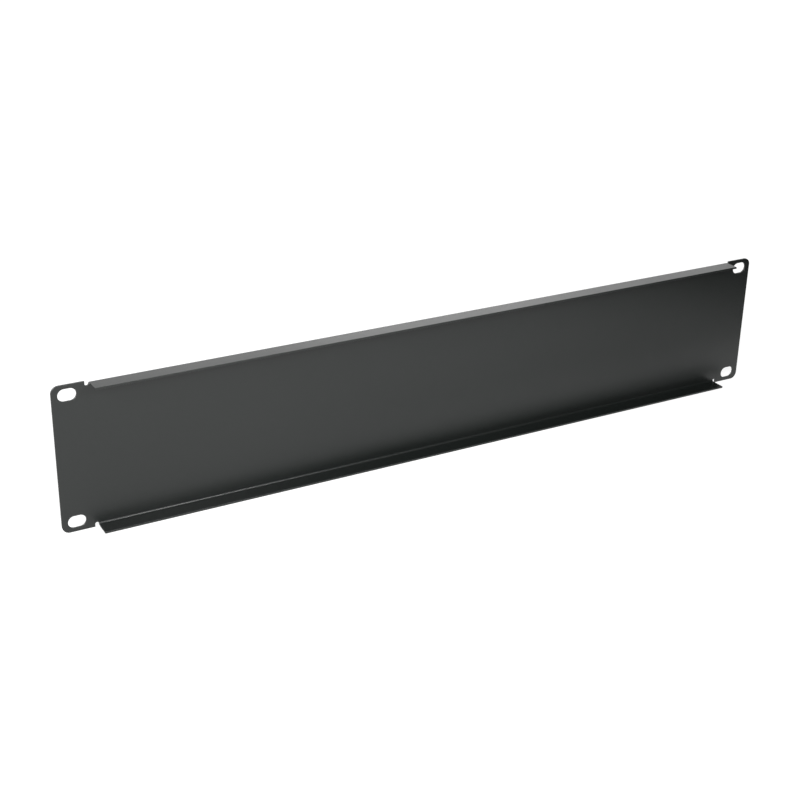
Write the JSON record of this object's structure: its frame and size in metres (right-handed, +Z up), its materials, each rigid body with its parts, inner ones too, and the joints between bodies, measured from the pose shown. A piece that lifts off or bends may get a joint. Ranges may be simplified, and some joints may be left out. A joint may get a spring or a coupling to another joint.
{
  "type": "rack blanking panel",
  "caption": "Rack blanking panel: a flat sheet with shallow flanges folded back along its long edges, relief notches beside the folds and slotted screw holes in its end ears.",
  "frame": {"origin": "centre of the four mounting slots, on the plane of the back of the ears, where the panel bears on the rack rails", "axes": "+X across the rack along the panel's width, +Y from the front of the rack to its back, +Z up; the front face is at -Y and the flanges point to +Y"},
  "size_m": [0.4826, 0.0117, 0.0882],
  "materials": {
    "black_powder_coat": "satin black powder coat with a very fine orange peel, all over a steel sheet"
  },
  "bodies": {
    "root": {"blanking_panel": "black_powder_coat"}
  },
  "joints": []
}
